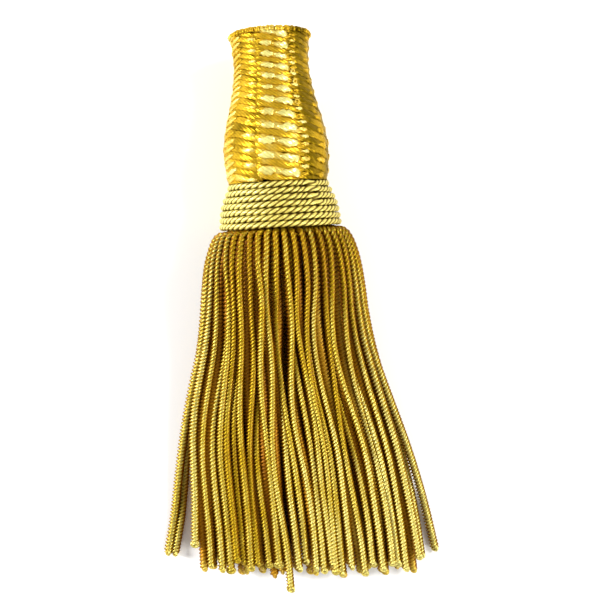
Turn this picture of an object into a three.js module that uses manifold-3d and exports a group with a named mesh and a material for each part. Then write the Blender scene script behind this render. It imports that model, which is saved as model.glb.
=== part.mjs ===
// A gold bullion tassel, lying on its side on a flat surface.
// Millimetres, +Z up. The head points along +Y, the skirt fans out along -Y and the surface is Z = 0.
import * as THREE from "three";
import { mergeVertices } from "three/addons/utils/BufferGeometryUtils.js";
import Module from "manifold-3d";

const wasm = await Module();
wasm.setup();

// Driving dimensions. Along the tassel, 0 is the lower edge of the wound band.
const fitGap = 0.35; // between two pieces that are fitted together
const seamReach = 0.0005; // points nearer than this are one point

// Head: the vase shape, from its foot on the band to its lip
const headSections = [
  { place: "foot", along: 8.55, radius: 9.15 },
  { place: "swell", along: 11.0, radius: 9.5 },
  { place: "belly", along: 14.4, radius: 9.65 },
  { place: "upper belly", along: 18.4, radius: 9.05 },
  { place: "shoulder", along: 23.4, radius: 7.75 },
  { place: "neck", along: 28.8, radius: 6.85 },
  { place: "flare", along: 32.6, radius: 7.05 },
  { place: "lip", along: 34.9, radius: 7.25 },
];
const headSteps = 15; // steps of the profile from foot to lip
const rimAlong = 35.3; // the flat rim of the mouth
const rimRadius = 6.8;
const mouthRadius = 4.75; // the hole for the hanging cord
const mouthDepth = 13;
const ribCount = 14; // columns of the plaited cover
const ribHeight = 0.2;
const ribOffset = THREE.MathUtils.degToRad(-8); // the nearest column to the top, towards -X
const pointsPerRib = 4;

// Band: one cord wound round the heading, its turns counted from the skirt up
const bandTurns = [
  { turn: 1, radius: 11.3 },
  { turn: 2, radius: 11.2 },
  { turn: 3, radius: 11.05 },
  { turn: 4, radius: 10.8 },
  { turn: 5, radius: 10.4 },
  { turn: 6, radius: 9.9 },
  { turn: 7, radius: 9.4 },
];
const turnPitch = 1.17;
const turnDepth = 0.42; // how deep the valley between two turns is
const bandWall = 1.35; // thickness at the first and the last turn
const bandSegments = 48;
const flatSpot = 4; // width of the spot on which the band rests
const axisHeight = Math.sqrt(bandTurns[0].radius ** 2 - (flatSpot / 2) ** 2);

// Skirt: heading, and the strands in rings round it
const headingFoot = 0.1;
const headingTop = 7.85;
const headingSegments = 32;
const strandWidth = 1.28; // side of a strand's four-sided section
const ringStep = 1.75; // from one ring of strands to the next
const strandRings = [
  { ring: "outer", strands: 39, inset: 0, wave: 5.3, phase: 0.4 },
  { ring: "inner", strands: 31, inset: ringStep, wave: 4.7, phase: 2.1 },
];
// The oval that the outer ring follows on its way: half its width, the heights of its top and of its
// widest line, how far it leans to +X, and its squareness, 2 for an ellipse and more for flatter sides
const skirtSections = [
  { along: 1.2, half: 8.9, top: axisHeight + 8.9, middle: axisHeight, lean: 0, square: 2.0 },
  { along: -0.2, half: 8.95, top: axisHeight + 8.95, middle: axisHeight, lean: 0, square: 2.0 },
  { along: -0.95, half: 10.1, top: 21.2, middle: 11.1, lean: 0, square: 2.0 },
  { along: -1.35, half: 11.3, top: 21.9, middle: 11.0, lean: 0, square: 2.0 },
  { along: -1.95, half: 12.2, top: 22.3, middle: 10.8, lean: 0, square: 2.0 },
  { along: -3.6, half: 13.2, top: 22.5, middle: 10.5, lean: 0, square: 2.0 },
  { along: -6.6, half: 14.1, top: 22.3, middle: 9.9, lean: -0.1, square: 2.0 },
  { along: -11.0, half: 14.8, top: 20.7, middle: 9.0, lean: -0.2, square: 2.05 },
  { along: -16.5, half: 15.4, top: 17.8, middle: 7.9, lean: -0.4, square: 2.15 },
  { along: -22.5, half: 16.3, top: 14.5, middle: 6.7, lean: -0.5, square: 2.3 },
  { along: -29.5, half: 17.8, top: 11.3, middle: 5.6, lean: -0.5, square: 2.6 },
  { along: -36.5, half: 19.3, top: 9.1, middle: 4.7, lean: -0.3, square: 3.0 },
  { along: -43.5, half: 20.6, top: 7.7, middle: 4.1, lean: 0.1, square: 3.6 },
  { along: -51.0, half: 21.6, top: 6.8, middle: 3.7, lean: 0.6, square: 4.3 },
  { along: -58.6, half: 22.2, top: 6.3, middle: 3.5, lean: 1.1, square: 5.0 },
  { along: -66.3, half: 22.6, top: 6.1, middle: 3.4, lean: 1.4, square: 5.5 },
];
const floorPress = 0.8; // how far the surface flattens the underside of the oval
const levelReach = 0.12; // a strand nearer than this to the surface rests on it
const looseFrom = 9; // below the band by this much, the strands begin to stray
const driftShare = 0.26; // how far a strand strays to its neighbours, in strand spacings
const lengthSpread = 2.4; // longest less shortest strand
const lengthPace = 0.618; // how the length changes from one strand to the next
const tipArch = 1.6; // how much sooner the tips at the sides end
const tipSkew = 1.4; // how much farther the tips at +X reach
// Strands that stand out at their tips: how much longer, wider and lower they end, and how late they part
const strayStrands = [
  { ring: "outer", strand: 37, longer: 4.45, wider: 0, lower: 0, late: 2 },
  { ring: "outer", strand: 9, longer: 0.3, wider: 2.9, lower: 3.3, late: 2 },
  { ring: "outer", strand: 8, longer: -1.0, wider: 1.1, lower: 0, late: 2 },
  { ring: "outer", strand: 10, longer: 0, wider: 0.7, lower: 0, late: 1.2 },
  { ring: "outer", strand: 29, longer: 0, wider: -5.2, lower: 2.5, late: 2.7 },
  { ring: "outer", strand: 28, longer: -0.7, wider: -3.7, lower: 1.6, late: 6 },
  { ring: "outer", strand: 30, longer: -2.0, wider: 0, lower: 0, late: 2 },
  { ring: "outer", strand: 32, longer: 1.4, wider: 0, lower: 0, late: 2 },
  { ring: "outer", strand: 36, longer: -1.3, wider: 0.6, lower: 0, late: 2 },
  { ring: "outer", strand: 4, longer: 2.3, wider: 0, lower: 0, late: 2 },
];
const outlineSteps = 240;
const normalReach = 0.004; // share of an outline on either side that its direction is taken from

// A geometry with its seams joined and its collapsed triangles dropped
function sewn(geometry) {
  geometry.deleteAttribute("normal");
  geometry.deleteAttribute("uv");
  const joined = mergeVertices(geometry, seamReach);
  const corners = joined.index.array;
  const kept = [];
  for (let i = 0; i < corners.length; i += 3) {
    const [a, b, c] = corners.slice(i, i + 3);
    if (a !== b && b !== c && c !== a) {
      kept.push(a, b, c);
    }
  }
  joined.setIndex(kept);
  return joined;
}

function solidOf(geometry) {
  const closed = sewn(geometry);
  return new wasm.Manifold(new wasm.Mesh({
    numProp: 3,
    vertProperties: new Float32Array(closed.attributes.position.array),
    triVerts: new Uint32Array(closed.index.array),
  }));
}

function geometryOf(solid) {
  const mesh = solid.getMesh();
  const geometry = new THREE.BufferGeometry();
  geometry.setAttribute("position", new THREE.BufferAttribute(new Float32Array(mesh.vertProperties), 3));
  geometry.setIndex(new THREE.BufferAttribute(new Uint32Array(mesh.triVerts), 1));
  return geometry;
}

function pieceOf(name, geometry, color) {
  const material = new THREE.MeshStandardMaterial({ color, metalness: 0.6, roughness: 0.45 });
  const piece = new THREE.Mesh(geometry, material);
  piece.name = name;
  return piece;
}

// Head: a turned vase with a mouth for the cord, its columns raised in the points of its outer face
function headGeometry() {
  const sides = new THREE.SplineCurve(headSections.map((row) => new THREE.Vector2(row.radius, row.along)));
  const foot = headSections[0];
  const profile = [
    new THREE.Vector2(0, foot.along),
    ...sides.getPoints(headSteps),
    new THREE.Vector2(rimRadius, rimAlong),
    new THREE.Vector2(mouthRadius, rimAlong),
    new THREE.Vector2(mouthRadius, rimAlong - mouthDepth),
    new THREE.Vector2(0, rimAlong - mouthDepth),
  ];
  const geometry = new THREE.LatheGeometry(profile, ribCount * pointsPerRib);
  const points = geometry.attributes.position;
  const lip = headSections[headSections.length - 1];
  for (let i = 0; i < points.count; i++) {
    const radius = Math.hypot(points.getX(i), points.getZ(i));
    const along = points.getY(i);
    if (radius > rimRadius && along > foot.along && along < lip.along) {
      const angle = Math.atan2(points.getX(i), points.getZ(i));
      const raised = radius + (ribHeight / 2) * Math.cos(ribCount * (angle - ribOffset));
      points.setX(i, (points.getX(i) * raised) / radius);
      points.setZ(i, (points.getZ(i) * raised) / radius);
    }
  }
  return sewn(geometry);
}

// Band: a ring with one rounded ridge for each turn, flat where it lies on the surface
function bandGeometry() {
  const profile = [];
  bandTurns.forEach((row, index) => {
    const start = index * turnPitch;
    profile.push(new THREE.Vector2(row.radius - turnDepth, start));
    profile.push(new THREE.Vector2(row.radius - turnDepth / 8, start + turnPitch / 4));
    profile.push(new THREE.Vector2(row.radius - turnDepth / 8, start + (3 * turnPitch) / 4));
  });
  const firstTurn = bandTurns[0];
  const lastTurn = bandTurns[bandTurns.length - 1];
  const top = bandTurns.length * turnPitch;
  profile.push(new THREE.Vector2(lastTurn.radius - turnDepth, top));
  profile.push(new THREE.Vector2(lastTurn.radius - bandWall, top));
  profile.push(new THREE.Vector2(firstTurn.radius - bandWall, 0));
  profile.push(profile[0].clone());
  const geometry = new THREE.LatheGeometry(profile, bandSegments);
  const points = geometry.attributes.position;
  for (let i = 0; i < points.count; i++) {
    points.setZ(i, Math.max(points.getZ(i), -axisHeight));
  }
  return sewn(geometry);
}

// The oval of one ring at one section of the skirt, from its top round by +X
function ovalOutline(section, inset) {
  const power = 2 / section.square;
  const rest = strandWidth / 2 + inset;
  const low = Math.max(rest - floorPress, axisHeight - section.half + inset);
  const half = section.half - inset;
  const top = section.top - inset;
  const outline = [];
  for (let i = 0; i <= outlineSteps; i++) {
    const turn = (2 * Math.PI * i) / outlineSteps;
    const across = Math.sign(Math.sin(turn)) * Math.abs(Math.sin(turn)) ** power;
    const up = Math.sign(Math.cos(turn)) * Math.abs(Math.cos(turn)) ** power;
    const rise = up > 0 ? top - section.middle : section.middle - low;
    const height = Math.max(rest, section.middle + rise * up);
    outline.push(new THREE.Vector2(section.lean + half * across, height));
  }
  return outline;
}

// The point at a share of an outline's length
function pointAtShare(outline, share) {
  const lengths = [0];
  for (let i = 1; i < outline.length; i++) {
    lengths.push(lengths[i - 1] + outline[i].distanceTo(outline[i - 1]));
  }
  const wanted = THREE.MathUtils.euclideanModulo(share, 1) * lengths[lengths.length - 1];
  let i = 1;
  while (lengths[i] < wanted) {
    i++;
  }
  const part = (wanted - lengths[i - 1]) / (lengths[i] - lengths[i - 1]);
  return outline[i - 1].clone().lerp(outline[i], part);
}

// The way of one strand, a point for each section, with the direction that its outer side faces
class StrandPath extends THREE.Curve {
  constructor(points, outs) {
    super();
    this.points = points;
    this.outs = outs;
  }

  getPoint(share, target = new THREE.Vector3()) {
    const reach = share * (this.points.length - 1);
    const i = Math.min(Math.floor(reach), this.points.length - 2);
    return target.lerpVectors(this.points[i], this.points[i + 1], reach - i);
  }

  getPointAt(share, target) {
    return this.getPoint(share, target);
  }

  computeFrenetFrames() {
    const tangents = [];
    const normals = [];
    const binormals = [];
    const last = this.points.length - 1;
    for (let i = 0; i <= last; i++) {
      const before = this.points[Math.max(i - 1, 0)];
      const after = this.points[Math.min(i + 1, last)];
      const tangent = after.clone().sub(before);
      if (this.points[i].z === strandWidth / 2) {
        tangent.z = 0;
      }
      tangent.normalize();
      const normal = this.outs[i].clone().addScaledVector(tangent, -this.outs[i].dot(tangent)).normalize();
      tangents.push(tangent);
      normals.push(normal);
      binormals.push(tangent.clone().cross(normal));
    }
    return { tangents, normals, binormals };
  }
}

function strandPath(ring, strand) {
  const tipSection = skirtSections[skirtSections.length - 1];
  const stray = strayStrands.find((row) => row.ring === ring.ring && row.strand === strand);
  const uneven = lengthSpread * (((strand + 1) * lengthPace) % 1 - 0.5);
  const points = [];
  const outs = [];
  skirtSections.forEach((section, index) => {
    const above = skirtSections[Math.max(index - 1, 0)];
    const below = skirtSections[Math.min(index + 1, skirtSections.length - 1)];
    const slope = Math.atan2(below.half - above.half, above.along - below.along);
    const loose = THREE.MathUtils.smoothstep(-section.along, looseFrom, -tipSection.along);
    const parted = Math.max(0, THREE.MathUtils.inverseLerp(-looseFrom, tipSection.along, section.along));
    const drift = loose * driftShare * Math.sin((2 * Math.PI * strand) / ring.wave + ring.phase + loose);
    const share = (strand + 0.5 + drift) / ring.strands;
    const outline = ovalOutline(section, ring.inset);
    const place = pointAtShare(outline, share);
    const before = pointAtShare(outline, share - normalReach);
    const after = pointAtShare(outline, share + normalReach);
    const side = (place.x - section.lean) / section.half;
    const point = new THREE.Vector3(place.x, section.along, place.y);
    point.y += loose * (tipArch * side ** 4 - tipSkew * side - uneven) - ring.inset * Math.tan(slope / 2);
    if (stray) {
      point.x += parted ** stray.late * stray.wider;
      point.y -= loose * stray.longer;
      point.z -= loose ** 3 * stray.lower;
    }
    const out = new THREE.Vector3(before.y - after.y, 0, after.x - before.x).normalize();
    const restHeight = (strandWidth / 2) * (Math.abs(out.x) + Math.abs(out.z));
    if (point.z < restHeight + levelReach) {
      const onSide = Math.abs(out.x) > Math.abs(out.z);
      out.set(onSide ? Math.sign(out.x) : 0, 0, onSide ? 0 : -1);
      point.z = strandWidth / 2;
    }
    points.push(point);
    outs.push(out);
  });
  return new StrandPath(points, outs);
}

function strandGeometry(path) {
  const half = strandWidth / 2;
  const square = new THREE.Shape([
    new THREE.Vector2(-half, -half),
    new THREE.Vector2(half, -half),
    new THREE.Vector2(half, half),
    new THREE.Vector2(-half, half),
  ]);
  return new THREE.ExtrudeGeometry(square, { steps: path.points.length - 1, extrudePath: path });
}

// Skirt: the strands, their roots fused in the rolled heading that fills the band
function skirtGeometry() {
  const wallTop = bandTurns[bandTurns.length - 1].radius - bandWall;
  const wallFoot = bandTurns[0].radius - bandWall;
  const heading = new THREE.LatheGeometry([
    new THREE.Vector2(0, headingFoot),
    new THREE.Vector2(wallFoot - fitGap, headingFoot),
    new THREE.Vector2(wallTop - fitGap, headingTop),
    new THREE.Vector2(0, headingTop),
  ], headingSegments);
  heading.translate(0, 0, axisHeight);
  let skirt = solidOf(heading);
  for (const ring of strandRings) {
    for (let strand = 0; strand < ring.strands; strand++) {
      skirt = skirt.add(solidOf(strandGeometry(strandPath(ring, strand))));
    }
  }
  return geometryOf(skirt);
}

const head = pieceOf("head", headGeometry(), 0xe0b040);
head.position.z = axisHeight;
const band = pieceOf("band", bandGeometry(), 0xe6d68a);
band.position.z = axisHeight;
const skirt = pieceOf("skirt", skirtGeometry(), 0xb8912c);

// The whole, moved so that its own frame is under its middle
const tassel = new THREE.Group();
tassel.name = "bullion_tassel";
const laid = new THREE.Group();
laid.add(head, band, skirt);
const middle = new THREE.Box3().setFromObject(laid).getCenter(new THREE.Vector3());
laid.position.set(-middle.x, -middle.y, 0);
tassel.add(laid);

export default tassel;
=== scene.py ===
import math

import bpy
import numpy as np
from mathutils import Matrix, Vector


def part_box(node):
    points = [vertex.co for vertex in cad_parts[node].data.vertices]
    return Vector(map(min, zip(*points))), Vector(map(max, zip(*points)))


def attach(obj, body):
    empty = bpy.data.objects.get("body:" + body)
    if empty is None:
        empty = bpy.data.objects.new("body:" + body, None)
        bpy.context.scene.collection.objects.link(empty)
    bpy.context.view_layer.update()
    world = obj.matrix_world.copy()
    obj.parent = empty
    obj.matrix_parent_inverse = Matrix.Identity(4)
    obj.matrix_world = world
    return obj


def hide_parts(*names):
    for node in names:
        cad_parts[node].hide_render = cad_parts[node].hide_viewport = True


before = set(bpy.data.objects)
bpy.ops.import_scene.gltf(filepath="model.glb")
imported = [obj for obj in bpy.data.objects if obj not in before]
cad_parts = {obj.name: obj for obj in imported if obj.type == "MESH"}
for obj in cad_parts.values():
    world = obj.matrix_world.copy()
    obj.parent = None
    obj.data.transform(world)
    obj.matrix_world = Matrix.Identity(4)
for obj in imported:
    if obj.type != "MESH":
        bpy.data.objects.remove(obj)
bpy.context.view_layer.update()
mm = 0.001
headLow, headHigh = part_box("head")
bandLow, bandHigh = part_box("band")
axisX = (bandLow.x + bandHigh.x) / 2  # the tassel's middle line runs along Y through head and band
axisZ = (headLow.z + headHigh.z) / 2
bandFoot = bandLow.y  # sizes "along" the tassel are in mm up from here
axisHigh = axisZ / mm
print("frame loaded:", ", ".join(sorted(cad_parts)))

camera = {
    "above": 178 * mm,  # over the middle line
    "aside": 2.8 * mm,
    "below": 0.5 * mm,  # from the band's lower edge towards the skirt
    "tip": -4.2,  # degrees, looking a little towards the skirt
    "roll": -3.25,
    "lens": 57.7,
    "sensor": 36.0,
    "near": 10 * mm,  # nothing closer is drawn
}


def setCamera():
    tip = Matrix.Rotation(math.radians(camera["tip"]), 3, "X")
    roll = Matrix.Rotation(math.radians(camera["roll"]), 3, "Z")
    place = (axisX + camera["aside"], bandFoot - camera["below"], axisZ + camera["above"])
    bpy.ops.object.camera_add(location=place, rotation=(tip @ roll).to_euler())
    eye = bpy.context.object
    eye.name = "photo_camera"
    eye.data.lens = camera["lens"]
    eye.data.sensor_width = camera["sensor"]
    eye.data.clip_start = camera["near"]
    bpy.context.scene.camera = eye


setCamera()
print("camera set")

studio = {
    "floorSize": 3.0,
    "floorColour": (0.92, 0.92, 0.92, 1),
    "floorRough": 0.8,
    "skyColour": (1.0, 0.99, 0.97, 1),
    "skyStrength": 0.47,
    "lamps": [  # name, where it stands, size, watts
        ("key", (0.34, 0.16, 0.42), 0.14, 2.3),
        ("rightLow", (0.46, -0.36, 0.20), 0.16, 2.3),
        ("leftFill", (-0.50, 0.10, 0.26), 0.18, 4.4),
    ],
    "aim": (0.0, 0.0, 0.008),
}


def setStudio():
    scene = bpy.context.scene
    scene.view_settings.view_transform = "Standard"
    sky = bpy.data.worlds.new("studio_sky")
    sky.use_nodes = True
    back = sky.node_tree.nodes["Background"]
    back.inputs["Color"].default_value = studio["skyColour"]
    back.inputs["Strength"].default_value = studio["skyStrength"]
    scene.world = sky
    for name, place, size, watts in studio["lamps"]:
        away = np.array(place) - np.array(studio["aim"])
        flat = math.hypot(away[0], away[1])
        turn = (0, math.atan2(flat, away[2]), math.atan2(away[1], away[0]))
        bpy.ops.object.light_add(type="AREA", location=place, rotation=turn)
        lamp = bpy.context.object
        lamp.name = name
        lamp.data.size = size
        lamp.data.energy = watts
    bpy.ops.object.select_all(action="DESELECT")
    bpy.ops.mesh.primitive_plane_add(size=studio["floorSize"], location=(0, 0, 0))
    floor = bpy.context.object
    floor.name = "pale_table"
    paint = bpy.data.materials.new("paleTable")
    paint.use_nodes = True
    shader = paint.node_tree.nodes["Principled BSDF"]
    shader.inputs["Base Color"].default_value = studio["floorColour"]
    shader.inputs["Roughness"].default_value = studio["floorRough"]
    floor.data.materials.append(paint)


setStudio()
print("floor and lights set")


# Node helpers
nodeSpacing = 180


def addNode(tree, kind, **settings):
    node = tree.nodes.new(kind)
    node.location.x = nodeSpacing * len(tree.nodes)  # side by side, as they are made
    for key, value in settings.items():
        setattr(node, key, value)
    return node


def feed(tree, socket, value):  # by another socket, or with a plain number or colour
    if isinstance(value, (int, float, tuple)):
        socket.default_value = value
    else:
        tree.links.new(value, socket)


def sumNode(tree, operation, *values, clamp=False):
    node = addNode(tree, "ShaderNodeMath", operation=operation, use_clamp=clamp)
    for socket, value in zip(node.inputs, values):
        feed(tree, socket, value)
    return node.outputs[0]


def rampNode(tree, value, low, high):  # 0 below low, 1 above high, smooth between
    node = addNode(tree, "ShaderNodeMapRange", interpolation_type="SMOOTHSTEP")
    tree.links.new(value, node.inputs["Value"])
    node.inputs["From Min"].default_value = low
    node.inputs["From Max"].default_value = high
    return node.outputs["Result"]


def mixNode(tree, share, first, second, blend="MIX"):
    node = addNode(tree, "ShaderNodeMix", data_type="RGBA", blend_type=blend)
    for key, value in (("Factor", share), (6, first), (7, second)):  # 6 and 7 are its colour sockets
        feed(tree, node.inputs[key], value)
    return node.outputs[2]


# Gilt thread: the deep colour between the plies is painted shade, the bright one on their crests painted
# highlight, with the fine threads as lines on the UV map
giltGrain = {
    "patches": 130,  # noise scale of broad patches
    "sway": 1.4,  # how far these sway the tone
    "fine": 1400,  # noise scale of the grain
    "detail": 2,
    "valleyTo": 0.6,  # crest value where the painted shade of the deep colour has ended
    "topFrom": 0.3,  # and where the painted highlight of the bright one begins
    "speckle": 0.5,
    "crestSmooth": 0.25,  # how much less rough a crest is
    "grainRough": 0.12,
    "grainHigh": 0.4,  # height of the grain beside that of the lines
    "bumpDeep": 0.05 * mm,
    "coatRough": 0.25,
}
lookColours = ("deep", "dull", "body", "bright")  # what each kind of thread sets in the group
lookNumbers = ("linesAcross", "linesAlong", "lineDepth", "crestGain", "soft")


def giltThreadGroup():
    group = bpy.data.node_groups.new("giltThread", "ShaderNodeTree")
    face = group.interface
    for kind, names in (
        ("NodeSocketColor", lookColours),
        ("NodeSocketFloat", lookNumbers + ("crest", "tone")),
        ("NodeSocketVector", ("surface", "place")),
    ):
        for name in names:
            face.new_socket(name=name, in_out="INPUT", socket_type=kind)
    face.new_socket(name="colour", in_out="OUTPUT", socket_type="NodeSocketColor")
    for name in ("rough", "height"):
        face.new_socket(name=name, in_out="OUTPUT", socket_type="NodeSocketFloat")
    given = addNode(group, "NodeGroupInput").outputs
    result = addNode(group, "NodeGroupOutput").inputs
    broad = addNode(group, "ShaderNodeTexNoise")
    broad.inputs["Scale"].default_value = giltGrain["patches"]
    broad.inputs["Detail"].default_value = giltGrain["detail"]
    fine = addNode(group, "ShaderNodeTexNoise")
    fine.inputs["Scale"].default_value = giltGrain["fine"]
    fine.inputs["Detail"].default_value = giltGrain["detail"]
    group.links.new(given["place"], broad.inputs["Vector"])
    group.links.new(given["place"], fine.inputs["Vector"])
    split = addNode(group, "ShaderNodeSeparateXYZ")
    group.links.new(given["surface"], split.inputs[0])
    across = sumNode(group, "MULTIPLY", split.outputs[0], given["linesAcross"])
    phase = sumNode(group, "MULTIPLY_ADD", split.outputs[1], given["linesAlong"], across)
    wave = sumNode(group, "SINE", phase)
    lines = sumNode(group, "MULTIPLY_ADD", wave, 0.5, 0.5)
    # painted shade: the deep colour in the valleys
    crestMask = rampNode(group, given["crest"], 0.0, giltGrain["valleyTo"])
    swing = giltGrain["sway"]
    sway = sumNode(group, "MULTIPLY_ADD", broad.outputs[0], swing, -swing / 2)
    toneNow = sumNode(group, "ADD", given["tone"], sway)
    # painted highlight: the bright colour on the crests, by tone and crest gain
    crestTop = rampNode(group, given["crest"], giltGrain["topFrom"], 1.0)
    gained = sumNode(group, "ADD", toneNow, given["crestGain"])
    paintedHighlightMask = sumNode(group, "MULTIPLY", gained, crestTop, clamp=True)
    # the dull colour for low tones: a thread's own darker tone, and painted shade where a tone is set low
    # for it
    dimMask = sumNode(group, "MULTIPLY", toneNow, -1.0, clamp=True)
    body = mixNode(group, dimMask, given["body"], given["dull"])
    raised = mixNode(group, paintedHighlightMask, body, given["bright"])
    lit = mixNode(group, crestMask, given["deep"], raised)
    offLine = sumNode(group, "SUBTRACT", lines, 1.0)
    lineShade = sumNode(group, "MULTIPLY_ADD", offLine, given["lineDepth"], 1.0)
    specks = giltGrain["speckle"]
    speckle = sumNode(group, "MULTIPLY_ADD", fine.outputs[0], specks, 1 - specks / 2)
    shade = sumNode(group, "MULTIPLY", lineShade, speckle)
    grey = addNode(group, "ShaderNodeCombineColor")
    for socket in grey.inputs:
        group.links.new(shade, socket)
    shaded = mixNode(group, 1.0, lit, grey.outputs[0], "MULTIPLY")
    group.links.new(shaded, result["colour"])
    smooth = giltGrain["crestSmooth"]
    dull = sumNode(group, "MULTIPLY_ADD", given["crest"], -smooth, given["soft"])
    rough = sumNode(group, "MULTIPLY_ADD", fine.outputs[0], giltGrain["grainRough"], dull)
    group.links.new(rough, result["rough"])
    height = sumNode(group, "MULTIPLY_ADD", fine.outputs[0], giltGrain["grainHigh"], lines)
    group.links.new(height, result["height"])
    return group


giltThread = giltThreadGroup()


def giltMaterial(name, look):
    material = bpy.data.materials.new(name)
    material.use_nodes = True
    tree = material.node_tree
    shader = tree.nodes["Principled BSDF"]
    thread = addNode(tree, "ShaderNodeGroup", node_tree=giltThread)
    for attribute in ("crest", "tone"):
        reader = addNode(tree, "ShaderNodeAttribute", attribute_name=attribute)
        tree.links.new(reader.outputs["Fac"], thread.inputs[attribute])
    surface = addNode(tree, "ShaderNodeUVMap", uv_map="threads")
    tree.links.new(surface.outputs[0], thread.inputs["surface"])
    place = addNode(tree, "ShaderNodeTexCoord")
    tree.links.new(place.outputs["Object"], thread.inputs["place"])
    for key in lookColours + lookNumbers:
        thread.inputs[key].default_value = look[key]
    bump = addNode(tree, "ShaderNodeBump")
    bump.inputs["Strength"].default_value = look["bump"]
    bump.inputs["Distance"].default_value = giltGrain["bumpDeep"]
    tree.links.new(thread.outputs["colour"], shader.inputs["Base Color"])
    tree.links.new(thread.outputs["rough"], shader.inputs["Roughness"])
    tree.links.new(thread.outputs["height"], bump.inputs["Height"])
    tree.links.new(bump.outputs["Normal"], shader.inputs["Normal"])
    shader.inputs["Metallic"].default_value = look["metal"]
    shader.inputs["Specular IOR Level"].default_value = look["gloss"]
    shader.inputs["Specular Tint"].default_value = look["edgeTint"]
    shader.inputs["Coat Weight"].default_value = look["coat"]
    shader.inputs["Coat Roughness"].default_value = giltGrain["coatRough"]
    return material


# Meshes made from arrays: many small like things are gathered in one bundle and joined
def newBundle():
    return {"points": [], "faces": [], "uv": [], "crest": [], "tone": [], "count": 0}


def addToBundle(bundle, points, faces, uv, crest, tone):
    start = bundle["count"]
    bundle["points"].append(points)
    bundle["faces"].extend([tuple(corner + start for corner in face) for face in faces])
    bundle["uv"].append(uv)
    bundle["crest"].append(crest)
    bundle["tone"].append(np.broadcast_to(tone, len(points)))
    bundle["count"] += len(points)


def bundlePiece(name, bundle, material):
    mesh = bpy.data.meshes.new(name)
    mesh.from_pydata(np.concatenate(bundle["points"]).tolist(), [], bundle["faces"])
    corners = np.concatenate(bundle["uv"]).astype(np.float32).ravel()
    mesh.uv_layers.new(name="threads").uv.foreach_set("vector", corners)
    for attribute in ("crest", "tone"):
        values = np.concatenate(bundle[attribute]).astype(np.float32)
        mesh.attributes.new(attribute, "FLOAT", "POINT").data.foreach_set("value", values)
    mesh.shade_smooth()
    mesh.materials.append(material)
    mesh.update()
    piece = bpy.data.objects.new(name, mesh)
    bpy.context.scene.collection.objects.link(piece)
    return piece


def unit(vectors):
    return vectors / np.linalg.norm(vectors, axis=-1, keepdims=True)


def reachAlong(line):  # how far each of its points is from the line's start
    return np.concatenate([[0], np.cumsum(np.linalg.norm(np.diff(line, axis=0), axis=1))])


def softLine(rows, steps):  # a smooth line through the rows of a table
    rows = np.asarray(rows, float)
    last = len(rows) - 1
    at = np.linspace(0, last, last * steps + 1)
    span = np.minimum(at.astype(int), last - 1)
    share = (at - span)[:, None]
    before, first, second, after = (rows[np.clip(span + k, 0, last)] for k in (-1, 0, 1, 2))
    lead = 0.5 * (second - before)
    trail = 0.5 * (after - first)
    cube = 2 * first - 2 * second + lead + trail
    square = -3 * first + 3 * second - 2 * lead - trail
    return ((cube * share + square) * share + lead) * share + first


def evenLine(line, step):  # the same line with its points a step apart
    reach = reachAlong(line)
    wanted = np.linspace(0, reach[-1], max(2, int(round(reach[-1] / step)) + 1))
    return np.stack([np.interp(wanted, reach, line[:, k]) for k in range(3)], axis=1)


def placed(points):  # from the tassel's own mm (across, along, height) to the frame in metres
    points = np.asarray(points, float)
    return points * mm + np.array([axisX, bandFoot, 0])


def skinFaces(rings, sides, closed=False):  # quads over rings of points, and the ring and side of each
    ring, side = np.divmod(np.arange((rings if closed else rings - 1) * sides), sides)
    onward, following = (ring + 1) % rings, (side + 1) % sides
    corners = ((ring, side), (onward, side), (onward, following), (ring, following))
    return np.stack([row * sides + spot for row, spot in corners], axis=1), ring, side


# Cord of round plies along a line: crest is 1 on the plies, and falls in the valleys and where cords touch,
# for painted shade there
def twistedCord(bundle, line, side, radius, twist, tone):
    tangent = unit(np.gradient(line, axis=0))
    across = unit(side - tangent * np.sum(side * tangent, axis=1, keepdims=True))
    other = np.cross(tangent, across)
    reach = reachAlong(line)
    sides = twist["plies"] * twist["pointsPerPly"]
    share = np.arange(sides) / sides
    lobe = ((share * twist["plies"] + 0.5) % 1 - 0.5) * math.tau / twist["plies"]
    plySize = twist["plySize"]
    seat = 1 - plySize
    profile = seat * np.cos(lobe) + np.sqrt(np.maximum(plySize**2 - (seat * np.sin(lobe)) ** 2, 0))
    turned = twist["start"] + twist["hand"] * reach / twist["lead"] + twist.get("upset", 0)
    angle = math.tau * (share[None, :] + turned[:, None])
    reachOut = radius[:, None] * profile[None, :]
    spokes = np.cos(angle)[..., None] * across[:, None, :] + np.sin(angle)[..., None] * other[:, None, :]
    points = (line[:, None, :] + reachOut[..., None] * spokes).reshape(-1, 3)
    rings = len(line)
    quads, ring, spot = skinFaces(rings, sides)
    faces = quads[:, [0, 3, 2, 1]].tolist()  # the rings turn the other way
    upper, lower = reach[ring], reach[ring + 1]
    left, right = spot / sides, (spot + 1) / sides
    uv = np.stack([left, upper, right, upper, right, lower, left, lower], axis=1).reshape(-1, 2)
    ends = [range(sides - 1, -1, -1), range((rings - 1) * sides, rings * sides)]
    endUv = np.stack([np.tile(share, 2), np.repeat(reach[[0, -1]], sides)], axis=1)

    def eachPoint(values):  # from one value, or one for each ring
        return np.repeat(np.broadcast_to(values, rings), sides)

    crest = np.tile((profile - profile.min()) / np.ptp(profile), rings)
    crest = np.minimum(crest + eachPoint(twist.get("filled", 0)), 1)
    seamFrom = twist.get("seamFrom", 1)  # how far aside the cord begins to touch its neighbours
    seamTo = 1.001  # a little past the side, so that a cord without seams divides by more than 0
    # painted shade where the cord touches its neighbours
    seamShade = np.clip((np.abs(np.sin(angle)) - seamFrom) / (seamTo - seamFrom), 0, 1).ravel()
    crest = np.maximum(crest - eachPoint(twist.get("seamShade", 0)) * seamShade, 0)
    addToBundle(bundle, placed(points), faces + ends, np.concatenate([uv, endUv]), crest, eachPoint(tone))


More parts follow.
